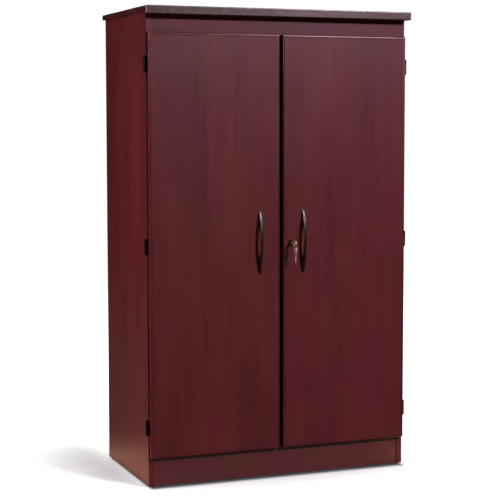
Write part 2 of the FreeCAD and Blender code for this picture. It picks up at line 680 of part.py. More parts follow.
NODES["bottom_panel"] = cut(box(-ix, ix, 0, case_depth, bottom_z, bot_top), holes["bottom_panel"])
NODES["front_plinth"] = cut(box(-ix, ix, plinth_set, plinth_set + board_t, side_z0, bottom_z),
                            holes["front_plinth"])
NODES["rear_plinth"] = cut(box(-ix, ix, 372.0, 372.0 + board_t, side_z0, bottom_z), holes["rear_plinth"])
NODES["frieze_rail"] = cut(box(-ix, ix, 0, board_t, frieze_z0, under_top), holes["frieze_rail"])

# the grommet's flange is let in flush, so that the desk shelf is one flat face
grommet_x, grommet_y = 250.0, 352.0
grommet_r = 30.0
flange_t = 2.2
drill("desk_shelf", cyl(grommet_r, 40, grommet_x, grommet_y, desk_z - 10, (0, 0, 1)))
drill("desk_shelf", cyl(grommet_r + 5.0, flange_t + 5.0, grommet_x, grommet_y, desk_top - flange_t, (0, 0, 1)))
NODES["desk_shelf"] = cut(box(-ix, ix, shelf_set, case_depth, desk_z, desk_top), holes["desk_shelf"])
NODES["cable_grommet"] = cut(
    fuse(cyl(grommet_r, board_t - 1.0 - flange_t, grommet_x, grommet_y, desk_z + 1.0, (0, 0, 1)),
         [cyl(grommet_r + 5.0, flange_t, grommet_x, grommet_y, desk_top - flange_t, (0, 0, 1))]),
    [cyl(grommet_r - 2.0, 40, grommet_x, grommet_y, desk_z - 10, (0, 0, 1))])

NODES["lower_shelf"] = cut(box(-ix, ix, shelf_set, case_depth - 2.0, lower_z, lower_top), holes["lower_shelf"])
NODES["tower_divider"] = cut(box(divider_x, divider_x + board_t, shelf_set + 10.0, case_depth - 2.0,
                                 bot_top, lower_z), holes["tower_divider"])
NODES["upper_shelf"] = box(-ix + 1.0, ix - 1.0, adj_set, case_depth - 14.0,
                           upper_shelf_z, upper_shelf_z + board_t)
NODES["printer_shelf"] = box(-ix + 1.0, divider_x - 1.0, adj_set, case_depth - 14.0,
                             printer_shelf_z, printer_shelf_z + board_t)

# hardboard back in two sheets that meet behind the desk shelf
cable_r = 28.0
drill("upper_back_panel", cyl(cable_r, 20, grommet_x, back_y0 - 5, desk_top + 60.0, (0, 1, 0)))
drill("lower_back_panel", cyl(cable_r, 20, grommet_x, back_y0 - 5, lower_z - 60.0, (0, 1, 0)))
NODES["lower_back_panel"] = cut(box(-hx + 3, hx - 3, back_y0, back_y1, bottom_z + 1.0, split_z - 0.5),
                                holes["lower_back_panel"])
NODES["upper_back_panel"] = cut(box(-hx + 3, hx - 3, back_y0, back_y1, split_z + 0.5, under_top - 1.0),
                                holes["upper_back_panel"])

# ---------------------------------------------------------------------------
# keyboard tray on steel roller runners, in its stowed place
# ---------------------------------------------------------------------------
tray_top = tray_z + board_t
tray = box(-tray_w / 2, tray_w / 2, tray_front, tray_front + tray_depth, tray_z, tray_top)
nose_edges = [e for e in tray.Edges
              if all(abs(v.Point.y - tray_front) < 1e-6 for v in e.Vertexes)
              and abs(e.Vertexes[0].Point.x - e.Vertexes[-1].Point.x) > 10]
tray = tray.makeFillet(5.0, nose_edges)
NODES["keyboard_tray"] = tray

runner_len = 320.0
ry0 = tray_front + 4.0
ry1 = ry0 + runner_len
rz = tray_z - 16.0                       # runner's lower edge
sheet = 1.2
rollers, runner_screws = [], []
for name, s in (("left", -1), ("right", 1)):
    def rbox(a, b, y0, y1, z0, z1):
        x0, x1 = sorted((s * a, s * b))
        return box(x0, x1, y0, y1, z0, z1)
    # case rail: channel open to the middle, screwed to the side panel
    rail = fuse(rbox(ix, ix - sheet, ry0, ry1, rz, rz + 22.0),
                [rbox(ix, ix - 10.0, ry0 + 14.0, ry1, rz, rz + sheet),
                 rbox(ix, ix - 10.0, ry0 + 24.0, ry1, rz + 22.0 - sheet, rz + 22.0)])
    screw_ys = (ry0 + 60.0, ry0 + 190.0, ry0 + 300.0)
    rail = cut(rail, [cyl(1.9, 4.0, s * (ix - sheet - 1.0), y, rz + 11.0, (s, 0, 0)) for y in screw_ys])
    NODES[name + "_runner_case_rail"] = rail
    for y in screw_ys:
        runner_screws.append(screw(1.7, 3.2, 10.0, 1.3, s * (ix - sheet), y, rz + 11.0, (s, 0, 0)))
        drill(name + "_side_panel", pilot(1.7, 10.0, s * (ix - sheet), y, rz + 11.0, (s, 0, 0)))
    # front roller, riveted to the case rail
    rollers.append(fuse(cyl(6.6, 6.0, s * (ix - sheet - 1.0), ry0 + 8.0, rz + 8.0, (-s, 0, 0)),
                        [cyl(2.0, 9.0, s * (ix - sheet), ry0 + 8.0, rz + 8.0, (-s, 0, 0))]))
    # tray rail: angle under the tray's edge with an outward flange on the roller
    tr = fuse(rbox(tray_w / 2 + sheet, tray_w / 2, ry0, ry1, tray_z - 8.0, tray_z + 8.0),
              [rbox(tray_w / 2 + sheet, tray_w / 2 - 12.0, ry0, ry1, tray_z - sheet, tray_z),
               rbox(tray_w / 2 + 8.5, tray_w / 2, ry0, ry1, rz + 14.8, rz + 14.8 + sheet)])
    NODES[name + "_runner_tray_rail"] = tr
    # rear roller, on the tray rail, running in the case rail's channel
    rollers.append(cyl(6.2, 5.6, s * (tray_w / 2 + sheet + 1.0), ry1 - 12.0, rz + 7.8, (s, 0, 0)))
NODES["runner_rollers"] = group(rollers)
NODES["runner_screws"] = group(runner_screws)

# the side panels are cut again, now that the runner screws are known
NODES["left_side_panel"] = side_panel("left_side_panel", -1)
NODES["right_side_panel"] = side_panel("right_side_panel", 1)

# ---------------------------------------------------------------------------
# floor glides: a domed disc with a nail into the panel's lower edge
# ---------------------------------------------------------------------------
glides = []
for side, s in sides:
    for y in (26.0, case_depth - 30.0):
        x = s * (hx - board_t / 2.0)
        disc = fuse(cone(6.2, 7.4, 1.2, x, y, 0.0, (0, 0, 1)),
                    [cyl(7.4, glide_h - 1.2, x, y, 1.2, (0, 0, 1)),
                     cyl(1.0, 15.0, x, y, glide_h - 0.5, (0, 0, 1))])
        glides.append(disc)
        drill(side, cyl(1.0, 14.5, x, y, glide_h, (0, 0, 1)))
NODES["floor_glides"] = group(glides)
NODES["left_side_panel"] = side_panel("left_side_panel", -1)
NODES["right_side_panel"] = side_panel("right_side_panel", 1)

# clear bumpers that the doors close against, on the frieze rail and bottom panel
NODES["door_bumpers"] = group([
    fuse(cyl(4.0, 1.0, x, 0.0, z, (0, -1, 0)), [cone(4.0, 2.6, 0.5, x, -1.0, z, (0, -1, 0))])
    for x in (-372.0, -16.0, 16.0, 372.0) for z in (bot_top - 5.5, frieze_z0 + 6.0)])

NODES["left_door"] = cut(left_door, holes.get("left_door", []))
NODES["right_door"] = cut(right_door, holes.get("right_door", []))
NODES["cam_lock_discs"] = group(cam_discs)
NODES["cam_lock_bolts"] = group(cam_bolts)
NODES["wood_dowels"] = group(dowels)
NODES["back_nails"] = group(nails)
NODES["shelf_pins"] = group(shelf_pins)

# ---------------------------------------------------------------------------
# put the origin at the bottom centre of the whole object and write the files
# ---------------------------------------------------------------------------
front_y = door_front - bow_out
rear_y = case_depth + top_rear_over
shift = V(0, -(front_y + rear_y) / 2.0, 0)

os.makedirs("parts", exist_ok=True)
for name, shape in NODES.items():
    s = shape.copy()
    s.translate(shift)
    if len(s.Solids) == 1:
        s = s.Solids[0]
    else:
        s = Part.makeCompound(s.Solids)
    if not s.isValid() or not s.Solids:
        print("invalid:", name)
    s.exportStep("parts/%s.step" % name)

bb = Part.makeCompound([s for s in NODES.values()]).BoundBox
print("nodes", len(NODES), "shift y %.3f" % shift.y)
print("box x %.2f %.2f y %.2f %.2f z %.2f %.2f" % (bb.XMin, bb.XMax, bb.YMin + shift.y, bb.YMax + shift.y,
                                                   bb.ZMin, bb.ZMax))
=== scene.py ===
import math

import bmesh
import bpy
from mathutils import Matrix, Vector

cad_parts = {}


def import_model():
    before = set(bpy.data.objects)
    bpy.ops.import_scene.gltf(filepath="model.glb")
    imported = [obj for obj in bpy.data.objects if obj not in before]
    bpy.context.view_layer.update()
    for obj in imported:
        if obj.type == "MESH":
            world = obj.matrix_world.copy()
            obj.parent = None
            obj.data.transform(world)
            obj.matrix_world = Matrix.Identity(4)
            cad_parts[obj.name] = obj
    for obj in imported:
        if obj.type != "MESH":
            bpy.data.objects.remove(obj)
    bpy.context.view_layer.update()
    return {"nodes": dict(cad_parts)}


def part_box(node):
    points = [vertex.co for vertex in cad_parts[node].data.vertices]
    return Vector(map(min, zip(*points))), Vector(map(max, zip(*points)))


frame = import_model()
NODES = frame["nodes"]

MM = 0.001
Y0 = -0.1786                 # the case front's edge in the row frame


# ---------------------------------------------------------------------------
# node-tree helper
# ---------------------------------------------------------------------------
class Tree:
    """Builds a node tree with short calls. A value may be a number, a tuple or a socket."""

    def __init__(self, tree):
        self.tree = tree
        self.x = 0

    def add(self, kind, **props):
        n = self.tree.nodes.new(kind)
        self.x += 40
        n.location = (self.x, -(self.x * 7) % 900)
        for k, v in props.items():
            setattr(n, k, v)
        return n

    def put(self, socket, value):
        if isinstance(value, bpy.types.NodeSocket):
            self.tree.links.new(value, socket)
        elif value is not None:
            if socket.type == "RGBA" and hasattr(value, "__len__") and len(value) == 3:
                value = (*value, 1.0)
            socket.default_value = value

    def math(self, op, a, b=None, c=None, clamp=False):
        n = self.add("ShaderNodeMath", operation=op, use_clamp=clamp)
        for i, v in enumerate((a, b, c)):
            if v is not None:
                self.put(n.inputs[i], v)
        return n.outputs[0]

    def vmath(self, op, a, b=None, scale=None):
        n = self.add("ShaderNodeVectorMath", operation=op)
        self.put(n.inputs[0], a)
        if b is not None:
            self.put(n.inputs[1], b)
        if scale is not None:
            self.put(n.inputs["Scale"], scale)
        return n.outputs["Value"] if op in ("LENGTH", "DOT_PRODUCT", "DISTANCE") else n.outputs["Vector"]

    def noise(self, vec, scale=1.0, detail=2.0, rough=0.5, distortion=0.0, out="Fac", kind=None):
        n = self.add("ShaderNodeTexNoise")
        if kind:
            n.noise_type = kind
        self.put(n.inputs["Vector"], vec)
        self.put(n.inputs["Scale"], scale)
        self.put(n.inputs["Detail"], detail)
        self.put(n.inputs["Roughness"], rough)
        self.put(n.inputs["Distortion"], distortion)
        return n.outputs[out]

    def voronoi(self, vec, scale=1.0, feature="F1", out="Distance", randomness=1.0):
        n = self.add("ShaderNodeTexVoronoi", feature=feature)
        self.put(n.inputs["Vector"], vec)
        self.put(n.inputs["Scale"], scale)
        self.put(n.inputs["Randomness"], randomness)
        return n.outputs[out]

    def ramp(self, fac, stops, mode="LINEAR"):
        n = self.add("ShaderNodeValToRGB")
        cr = n.color_ramp
        cr.interpolation = mode
        while len(cr.elements) > 1:
            cr.elements.remove(cr.elements[-1])
        for i, (pos, col) in enumerate(stops):
            if not hasattr(col, "__len__"):
                col = (col, col, col)
            e = cr.elements[0] if i == 0 else cr.elements.new(pos)
            e.position = pos
            e.color = (*col, 1.0)
        self.put(n.inputs[0], fac)
        return n.outputs["Color"]

    def remap(self, v, a, b, c=0.0, d=1.0, smooth=False, clamp=True):
        n = self.add("ShaderNodeMapRange", clamp=clamp)
        n.interpolation_type = "SMOOTHSTEP" if smooth else "LINEAR"
        for i, x in enumerate((v, a, b, c, d)):
            self.put(n.inputs[i], x)
        return n.outputs["Result"]

    def mix(self, fac, a, b, blend="MIX"):
        n = self.add("ShaderNodeMix", data_type="RGBA", blend_type=blend, clamp_factor=True)
        ins = [s for s in n.inputs if s.type == "RGBA"]
        self.put(n.inputs["Factor"], fac)
        self.put(ins[0], a)
        self.put(ins[1], b)
        return [s for s in n.outputs if s.type == "RGBA"][0]

    def mixf(self, fac, a, b):
        n = self.add("ShaderNodeMix", data_type="FLOAT")
        ins = [s for s in n.inputs if s.type == "VALUE"]
        self.put(ins[0], fac)
        self.put(ins[1], a)
        self.put(ins[2], b)
        return [s for s in n.outputs if s.type == "VALUE"][0]

    def split(self, vec):
        n = self.add("ShaderNodeSeparateXYZ")
        self.put(n.inputs[0], vec)
        return n.outputs[0], n.outputs[1], n.outputs[2]

    def join(self, x, y, z):
        n = self.add("ShaderNodeCombineXYZ")
        for i, v in enumerate((x, y, z)):
            self.put(n.inputs[i], v)
        return n.outputs[0]

    def bump(self, height, distance, strength=1.0, normal=None):
        n = self.add("ShaderNodeBump")
        n.inputs["Strength"].default_value = strength
        n.inputs["Distance"].default_value = distance
        self.put(n.inputs["Height"], height)
        if normal is not None:
            self.put(n.inputs["Normal"], normal)
        return n.outputs["Normal"]

    def coords(self):
        n = self.add("ShaderNodeTexCoord")
        return n.outputs["Object"], n.outputs["Normal"]


def material(name):
    """A material with a Principled shader: (material, tree helper, shader)."""
    m = bpy.data.materials.new(name)
    m.use_nodes = True
    t = Tree(m.node_tree)
    m.node_tree.nodes.clear()
    out = t.add("ShaderNodeOutputMaterial")
    p = t.add("ShaderNodeBsdfPrincipled")
    m.node_tree.links.new(p.outputs[0], out.inputs["Surface"])
    return m, t, p


def box_edge(t, pos, low, high, reach):
    """1 on the edges of an axis-aligned box, falling to 0 within reach of them: the second smallest distance to a face."""
    ds = []
    axes = t.split(pos)
    for i in range(3):
        a = t.math("SUBTRACT", axes[i], low[i])
        b = t.math("SUBTRACT", high[i], axes[i])
        ds.append(t.math("ABSOLUTE", t.math("MINIMUM", a, b)))
    lo1 = t.math("MINIMUM", ds[0], ds[1])
    hi1 = t.math("MAXIMUM", ds[0], ds[1])
    mid = t.math("MAXIMUM", lo1, t.math("MINIMUM", hi1, ds[2]))
    return t.remap(mid, 0.0, reach, 1.0, 0.0)


# ---------------------------------------------------------------------------
# cherry laminate: the printed wood grain, shared by every board
# ---------------------------------------------------------------------------
def cherry_group():
    """Inputs: Vector with the grain along Z, in metres. Outputs: Color, Roughness, Height."""
    g = bpy.data.node_groups.new("cherry_grain", "ShaderNodeTree")
    g.interface.new_socket("Vector", in_out="INPUT", socket_type="NodeSocketVector")
    g.interface.new_socket("Color", in_out="OUTPUT", socket_type="NodeSocketColor")
    g.interface.new_socket("Roughness", in_out="OUTPUT", socket_type="NodeSocketFloat")
    g.interface.new_socket("Height", in_out="OUTPUT", socket_type="NodeSocketFloat")
    t = Tree(g)
    gi, go = t.add("NodeGroupInput"), t.add("NodeGroupOutput")
    p = gi.outputs[0]
    x, y, z = t.split(p)

    # slow wander of the grain
    w1 = t.noise(t.vmath("MULTIPLY", p, (3.0, 3.0, 0.8)), 1.0, 1.0)
    w2 = t.noise(t.vmath("MULTIPLY", p, (11.0, 11.0, 2.6)), 1.0, 2.0)
    wander = t.math("ADD", t.math("MULTIPLY", t.math("SUBTRACT", w1, 0.5), 0.050),
                    t.math("MULTIPLY", t.math("SUBTRACT", w2, 0.5), 0.010))
    xw = t.math("ADD", x, wander)
    pw = t.join(xw, y, z)

    # flat-sawn figure: rings of a log whose axis leans slowly out of the face
    cell = 0.31
    u = t.math("SUBTRACT", t.math("MULTIPLY", t.math("FRACT", t.math("DIVIDE", t.math("ADD", xw, y), cell)), cell), cell / 2)
    lean = t.noise(t.vmath("MULTIPLY", t.join(0.0, 0.0, z), (1.0, 1.0, 1.3)), 1.0, 1.0)
    depth = t.math("ADD", t.math("MULTIPLY", lean, 0.085), t.math("MULTIPLY", t.noise(t.vmath("MULTIPLY", pw, (16.0, 16.0, 3.0)), 1.0, 3.0), 0.022))
    rad = t.math("SQRT", t.math("ADD", t.math("MULTIPLY", u, u), t.math("MULTIPLY", depth, depth)))
    ring = t.math("FRACT", t.math("MULTIPLY", rad, 135.0))
    late = t.math("MULTIPLY", t.remap(ring, 0.0, 0.72, 0.0, 1.0, True), t.remap(ring, 0.90, 1.0, 1.0, 0.0, True))
    # the figure shows in patches only
    patch = t.remap(t.noise(t.vmath("MULTIPLY", p, (5.0, 5.0, 1.1)), 1.0, 1.0), 0.42, 0.62, 0.25, 1.0, True)
    late = t.math("MULTIPLY", late, patch)

    # streaks, from broad to hair-fine
    s0 = t.noise(t.vmath("MULTIPLY", pw, (10.0, 10.0, 2.1)), 1.0, 3.0, 0.55)
    s1 = t.noise(t.vmath("MULTIPLY", pw, (46.0, 46.0, 2.4)), 1.0, 3.0, 0.6)
    s2 = t.noise(t.vmath("MULTIPLY", pw, (190.0, 190.0, 6.5)), 1.0, 3.0, 0.6)
    s3 = t.noise(t.vmath("MULTIPLY", pw, (900.0, 900.0, 22.0)), 1.0, 3.0, 0.65)
    tone = t.math("ADD", t.math("MULTIPLY", s0, 0.50), t.math("MULTIPLY", s1, 0.34))
    tone = t.math("ADD", tone, t.math("MULTIPLY", s2, 0.16))
    tone = t.math("ADD", tone, t.math("MULTIPLY", s3, 0.22))
    tone = t.math("SUBTRACT", tone, t.math("MULTIPLY", late, 0.085))
    tone = t.remap(tone, 0.25, 0.98, 0.0, 1.0)

    # pores: short dark dashes, denser in the late wood
    pz = t.noise(t.vmath("MULTIPLY", pw, (1500.0, 1500.0, 55.0)), 1.0, 1.0)
    dense = t.math("ADD", 0.66, t.math("MULTIPLY", late, -0.05))
    pore = t.remap(pz, dense, t.math("ADD", dense, 0.06), 0.0, 1.0, True)

    col = t.ramp(tone, [
        (0.00, (0.0362, 0.0035, 0.0055)),
        (0.30, (0.0750, 0.0069, 0.0092)),
        (0.55, (0.1099, 0.0105, 0.0128)),
        (0.78, (0.1501, 0.0160, 0.0167)),
        (1.00, (0.2010, 0.0242, 0.0229)),
    ])
    # redder and browner areas
    hue = t.noise(t.vmath("MULTIPLY", pw, (13.0, 13.0, 3.0)), 1.0, 2.0)
    col = t.mix(t.remap(hue, 0.42, 0.66, 0.0, 0.45, True), col, (0.118, 0.0168, 0.0101))
    hue2 = t.noise(t.vmath("ADD", t.vmath("MULTIPLY", pw, (10.0, 10.0, 2.4)), (7.3, 1.9, 4.1)), 1.0, 2.0)
    col = t.mix(t.remap(hue2, 0.44, 0.68, 0.0, 0.44, True), col, (0.112, 0.0084, 0.0215))
    col = t.mix(t.math("MULTIPLY", pore, 0.55), col, (0.0214, 0.0027, 0.0035))

    smudge = t.noise(t.vmath("MULTIPLY", p, (6.0, 6.0, 4.0)), 1.0, 4.0, 0.6)
    rough = t.math("ADD", 0.355, t.math("MULTIPLY", t.math("SUBTRACT", smudge, 0.5), 0.11))
    rough = t.math("ADD", rough, t.math("MULTIPLY", t.math("SUBTRACT", s2, 0.5), 0.10))
    rough = t.math("ADD", rough, t.math("MULTIPLY", pore, 0.16))

    height = t.math("ADD", t.math("MULTIPLY", s3, 0.40), t.math("MULTIPLY", s2, 0.30))
    height = t.math("SUBTRACT", height, t.math("MULTIPLY", pore, 0.75))

    t.put(go.inputs["Color"], col)
    t.put(go.inputs["Roughness"], rough)
    t.put(go.inputs["Height"], height)
    return g


CHERRY = cherry_group()


def cherry(name, grain="z", seed=0, node=None, wear=0.55, gloss=0.46, tint=(1.0, 0.88, 1.0), shade=1.0, polish=0.0, ior=1.46, film=0.0, relief=0.55, joint=0.0, upper_shade_strength=0.70, underside_shade=0.0):
    """Cherry laminate for one board, with the grain along an axis, its own stretch of the pattern, and worn arrises."""
    m, t, s = material(name)
    pos, nor = t.coords()
    x, y, z = t.split(pos)
    vec = {"z": (x, y, z), "x": (z, y, x), "y": (x, z, y)}[grain]
    off = (1.37 * seed, 0.71 * seed, 2.93 * seed)
    v = t.vmath("ADD", t.join(*vec), off)
    g = t.add("ShaderNodeGroup")
    g.node_tree = CHERRY
    t.put(g.inputs[0], v)
    col, rough, height = (g.outputs[k] for k in ("Color", "Roughness", "Height"))
    if node:
        lo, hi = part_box(node)
        edge = box_edge(t, pos, lo, hi, 0.0032)
        nick = t.noise(pos, 420.0, 3.0, 0.6)
        rub = t.noise(pos, 38.0, 3.0, 0.6)
        worn = t.math("MULTIPLY", edge, t.remap(t.math("ADD", t.math("MULTIPLY", nick, 0.5), t.math("MULTIPLY", rub, 0.6)), 0.52, 0.74, 0.0, 1.0, True))
        worn = t.math("MULTIPLY", worn, wear)
        col = t.mix(worn, col, (0.210, 0.065, 0.045))
        rough = t.math("ADD", rough, t.math("MULTIPLY", worn, 0.16))
    if film:
        # the rounded border of a door is a smoother film than its face
        rim = box_edge(t, pos, lo, hi, 0.0075)
        rough = t.math("SUBTRACT", rough, t.math("MULTIPLY", t.remap(rim, 0.25, 0.55, 0.0, 1.0, True), film))
    if shade != 1.0:
        col = t.mix(1.0, col, (shade, shade, shade), "MULTIPLY")
    if joint:
        # painted shade: the board is darkened and made rougher towards its upper edge, standing in for the shade under
        # the top on the frieze and under the doors on the plinth
        upper_shade = t.remap(z, hi[2] - joint, hi[2] - 0.35 * joint, 0.0, upper_shade_strength, True)
        col = t.mix(upper_shade, col, (0.006, 0.002, 0.0025))
        rough = t.math("ADD", rough, t.math("MULTIPLY", upper_shade, 0.35))
    if underside_shade:
        # painted shade: faces turned downwards are darkened and made rougher, a dark sheet standing in for the shade
        # under the top's overhang
        _, _, nz = t.split(nor)
        underside_shade_mask = t.remap(nz, -0.5, -0.85, 0.0, underside_shade, True)
        col = t.mix(underside_shade_mask, col, (0.0042, 0.0026, 0.0030))
        rough = t.math("ADD", rough, t.math("MULTIPLY", underside_shade_mask, 0.30))
    if polish:
        rough = t.math("SUBTRACT", rough, polish)
    t.put(s.inputs["Base Color"], col)
    t.put(s.inputs["Roughness"], rough)
    t.put(s.inputs["Normal"], t.bump(height, 0.00010, relief))
    s.inputs["IOR"].default_value = ior
    s.inputs["Specular IOR Level"].default_value = gloss
    s.inputs["Specular Tint"].default_value = (*tint, 1.0)
    return m


# ---------------------------------------------------------------------------
# other finishes
# ---------------------------------------------------------------------------
def metal(name, base, dark, rough=0.30, grain=(260.0, 260.0, 260.0), spread=0.14, metallic=1.0, spots=0.0, bump=0.00003):
    """Metal or painted metal with a mottled tone, fine tool marks and handling marks."""
    m, t, s = material(name)
    pos, nor = t.coords()
    fine = t.noise(t.vmath("MULTIPLY", pos, grain), 1.0, 4.0, 0.6)
    slow = t.noise(pos, 55.0, 3.0, 0.6)
    grit = t.noise(pos, 1900.0, 2.0, 0.5)
    tone = t.math("ADD", t.math("MULTIPLY", fine, 0.6), t.math("MULTIPLY", slow, 0.4))
    col = t.ramp(tone, [(0.34, dark), (0.66, base)])
    if spots:
        sp = t.remap(t.noise(pos, 210.0, 4.0, 0.65), 0.58, 0.70, 0.0, spots, True)
        col = t.mix(sp, col, tuple(0.45 * c for c in dark))
    r = t.math("ADD", rough - spread / 2, t.math("MULTIPLY", tone, spread))
    t.put(s.inputs["Base Color"], col)
    t.put(s.inputs["Roughness"], r)
    s.inputs["Metallic"].default_value = metallic
    h = t.math("ADD", t.math("MULTIPLY", fine, 0.7), t.math("MULTIPLY", grit, 0.3))
    t.put(s.inputs["Normal"], t.bump(h, bump, 0.6))
    return m, t, s


def plastic(name, base, rough=0.42, mottle=0.18, subsurface=0.0):
    """Moulded plastic with a fine eroded texture."""
    m, t, s = material(name)
    pos, nor = t.coords()
    grit = t.noise(pos, 1300.0, 2.0, 0.6)
    slow = t.noise(pos, 34.0, 3.0, 0.6)
    lo = tuple(c * (1 - mottle) for c in base)
    hi = tuple(min(1.0, c * (1 + mottle)) for c in base)
    col = t.ramp(t.math("ADD", t.math("MULTIPLY", grit, 0.35), t.math("MULTIPLY", slow, 0.65)), [(0.35, lo), (0.65, hi)])
    t.put(s.inputs["Base Color"], col)
    t.put(s.inputs["Roughness"], t.math("ADD", rough - 0.06, t.math("MULTIPLY", slow, 0.12)))
    t.put(s.inputs["Normal"], t.bump(grit, 0.00004, 0.5))
    if subsurface:
        s.inputs["Subsurface Weight"].default_value = subsurface
        s.inputs["Subsurface Radius"].default_value = (0.004, 0.004, 0.004)
        s.inputs["Subsurface Scale"].default_value = 1.0
    return m


def hardboard():
    """Back panel: the printed cherry face towards the inside, raw fibreboard with its screen texture behind."""
    m, t, s = material("hardboard_printed")
    pos, nor = t.coords()
    x, y, z = t.split(pos)
    g = t.add("ShaderNodeGroup")
    g.node_tree = CHERRY
    t.put(g.inputs[0], t.vmath("ADD", pos, (9.1, 3.0, 5.5)))
    _, ny, _ = t.split(nor)
    back = t.remap(ny, -0.2, 0.2, 0.0, 1.0)

    fib = t.noise(t.vmath("MULTIPLY", pos, (160.0, 160.0, 160.0)), 1.0, 5.0, 0.7, 1.5)
    blot = t.noise(pos, 7.0, 4.0, 0.6)
    raw = t.ramp(t.math("ADD", t.math("MULTIPLY", fib, 0.6), t.math("MULTIPLY", blot, 0.4)), [
        (0.30, (0.095, 0.046, 0.021)), (0.52, (0.190, 0.103, 0.050)), (0.72, (0.290, 0.172, 0.090))])
    fleck = t.remap(t.noise(pos, 520.0, 3.0, 0.6), 0.63, 0.70, 0.0, 0.65, True)
    raw = t.mix(fleck, raw, (0.040, 0.020, 0.011))
    pitch = 2 * math.pi / 0.0021
    mesh_h = t.math("MULTIPLY", t.math("SINE", t.math("MULTIPLY", x, pitch)), t.math("SINE", t.math("MULTIPLY", z, pitch)))
    raw_h = t.math("ADD", t.math("MULTIPLY", mesh_h, 0.35), t.math("MULTIPLY", fib, 0.9))

    t.put(s.inputs["Base Color"], t.mix(back, g.outputs["Color"], raw))
    t.put(s.inputs["Roughness"], t.mixf(back, t.math("ADD", g.outputs["Roughness"], 0.12), 0.86))
    t.put(s.inputs["Normal"], t.bump(t.mixf(back, g.outputs["Height"], raw_h), 0.00022, 0.6))
    s.inputs["Specular IOR Level"].default_value = 0.35
    return m


def beech():
    m, t, s = material("beech_wood")
    pos, nor = t.coords()
    fine = t.noise(t.vmath("MULTIPLY", pos, (60.0, 900.0, 900.0)), 1.0, 3.0, 0.6)
    col = t.ramp(fine, [(0.3, (0.36, 0.21, 0.11)), (0.7, (0.58, 0.39, 0.22))])
    t.put(s.inputs["Base Color"], col)
    t.put(s.inputs["Roughness"], t.math("ADD", 0.55, t.math("MULTIPLY", fine, 0.15)))
    t.put(s.inputs["Normal"], t.bump(fine, 0.0001, 0.5))
    return m


def handle_metal():
    """Dark pewter lacquer over brushed zinc, with small darker spots."""
    m, t, s = metal("pewter_handle", (0.074, 0.064, 0.078), (0.030, 0.026, 0.033), 0.29, (900.0, 900.0, 60.0), 0.12, 1.0, 0.25, 0.00002)
    return m


FINISH = {
    "hardboard": hardboard(),
    "beech": beech(),
    "black_steel": metal("hinge_black", (0.007, 0.006, 0.006), (0.003, 0.0027, 0.0027), 0.34, (500.0, 500.0, 500.0), 0.14, 0.97, 0.2, 0.00004)[0],
    "black_screw": metal("screw_black", (0.030, 0.028, 0.027), (0.011, 0.011, 0.011), 0.38, (500.0, 500.0, 500.0), 0.16, 0.6, 0.2)[0],
    "pewter_black": handle_metal(),
    "zinc_steel": metal("zinc_plate", (0.62, 0.60, 0.55), (0.40, 0.39, 0.36), 0.34, (300.0, 300.0, 300.0), 0.18, 1.0, 0.25)[0],
    "zinc_casting": metal("zinc_cast", (0.46, 0.46, 0.45), (0.27, 0.27, 0.27), 0.48, (700.0, 700.0, 700.0), 0.20, 1.0, 0.3, 0.00008)[0],
    "bolt_steel": metal("bolt_steel", (0.56, 0.53, 0.47), (0.33, 0.31, 0.28), 0.33, (300.0, 300.0, 300.0), 0.18, 1.0, 0.3)[0],
    "lock_bronze": metal("lock_bronze", (0.066, 0.024, 0.019), (0.022, 0.008, 0.006), 0.36, (350.0, 350.0, 350.0), 0.16, 1.0, 0.45)[0],
    "lock_brass": metal("lock_brass", (0.150, 0.080, 0.050), (0.060, 0.030, 0.020), 0.34, (420.0, 420.0, 420.0), 0.16, 1.0, 0.3)[0],
    "key_brass": metal("key_brass", (0.66, 0.47, 0.35), (0.46, 0.31, 0.215), 0.42, (320.0, 900.0, 320.0), 0.18, 0.55, 0.25)[0],
    "ring_steel": metal("ring_steel", (0.46, 0.36, 0.29), (0.27, 0.21, 0.165), 0.36, (400.0, 400.0, 400.0), 0.14, 0.55, 0.15)[0],
    "white_epoxy_steel": plastic("runner_epoxy", (0.70, 0.69, 0.65), 0.34, 0.06),
    "white_nylon": plastic("nylon_white", (0.74, 0.73, 0.68), 0.40, 0.05, 0.2),
    "black_plastic": plastic("plastic_black", (0.020, 0.020, 0.021), 0.42, 0.25),
    "brown_plastic": plastic("plastic_brown", (0.105, 0.050, 0.028), 0.45, 0.18),
    "clear_rubber": plastic("bumper_clear", (0.62, 0.60, 0.55), 0.30, 0.05, 0.4),
}

# boards: name -> grain axis
BOARDS = {
    "left_side_panel": "z", "right_side_panel": "z", "tower_divider": "z",
    "left_door": "z", "right_door": "z",
    "top_panel": "x", "bottom_panel": "x", "front_plinth": "x", "rear_plinth": "x", "frieze_rail": "x",
    "desk_shelf": "x", "lower_shelf": "x", "upper_shelf": "x", "printer_shelf": "x", "keyboard_tray": "x",
}
for i, (name, grain) in enumerate(BOARDS.items()):
    if name == "top_panel":
        # the top has the harder, shinier laminate of a work surface
        # with painted shade on its underside
        FINISH[name] = cherry("cherry_" + name, grain, i + 1, name, wear=0.15, relief=0.25, gloss=0.88, tint=(1.0, 1.0, 1.0),
                              shade=0.62, polish=0.09, ior=1.55, underside_shade=0.9)
    elif name in ("left_door", "right_door"):
        FINISH[name] = cherry("cherry_" + name, grain, i + 1, name, film=0.15, gloss=0.465 if name == "left_door" else 0.425)
    elif name == "frieze_rail":
        # the frieze gets a narrow band of painted shade under the top's overhang
        FINISH[name] = cherry("cherry_" + name, grain, i + 1, name, gloss=0.37, shade=0.88, tint=(1.0, 0.82, 0.98), joint=0.0045)
    elif name == "front_plinth":
        # the plinth gets a wider, fainter band of painted shade under the doors
        FINISH[name] = cherry("cherry_" + name, grain, i + 1, name, gloss=0.80, tint=(1.0, 1.0, 1.0), joint=0.014, upper_shade_strength=0.40)
    else:
        FINISH[name] = cherry("cherry_" + name, grain, i + 1, name)

for name, o in NODES.items():
    slot = o.material_slots[0].material.name.split(".")[0]
    finish = FINISH.get(name) or FINISH[slot]
    for ms in o.material_slots:
        ms.material = finish


